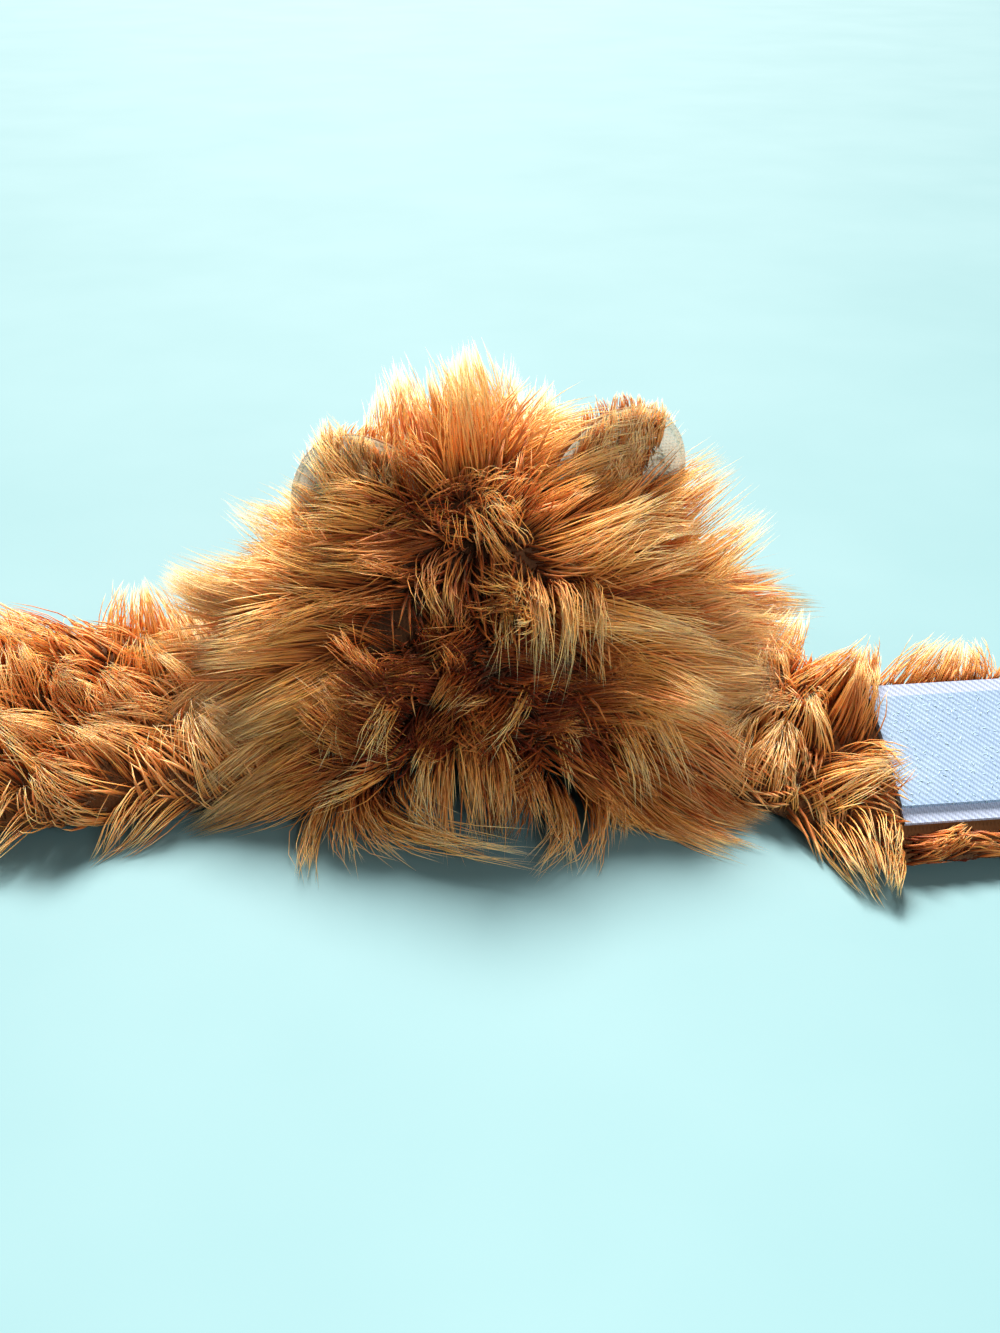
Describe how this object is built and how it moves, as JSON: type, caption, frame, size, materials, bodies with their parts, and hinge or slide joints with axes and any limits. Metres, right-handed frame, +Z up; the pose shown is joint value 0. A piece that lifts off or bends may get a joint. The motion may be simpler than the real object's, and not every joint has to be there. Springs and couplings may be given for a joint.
{
  "type": "pet lion headpiece",
  "caption": "Hollow faux-fur lion mane hood for a cat or small dog, with two rounded ears and a fur neck strap that closes with hook-and-loop tape.",
  "frame": {"origin": "middle of the footprint on the table that the headpiece lies on", "axes": "+Z up; -Y is the face side; +X is right as seen from the face side, where the strap with the loop tape lies"},
  "size_m": [0.3318, 0.1772, 0.1023],
  "materials": {
    "fur_crown": "long glossy pile",
    "fur_nape": "long glossy pile",
    "fur_cheeks": "long glossy pile",
    "fur_straps": "wavy pile",
    "fur_ears": "short pile",
    "ear_plush": "smooth short plush",
    "tape": "woven tape"
  },
  "bodies": {
    "root": {"crown_panel": "fur_crown", "nape_panel": "fur_nape", "cheek_left": "fur_cheeks", "cheek_right": "fur_cheeks", "strap_left": "fur_straps", "strap_right": "fur_straps", "ear_left": "fur_ears", "ear_right": "fur_ears", "ear_left_lining": "ear_plush", "ear_right_lining": "ear_plush", "loop_tape": "tape", "hook_tape": "tape"}
  },
  "joints": []
}
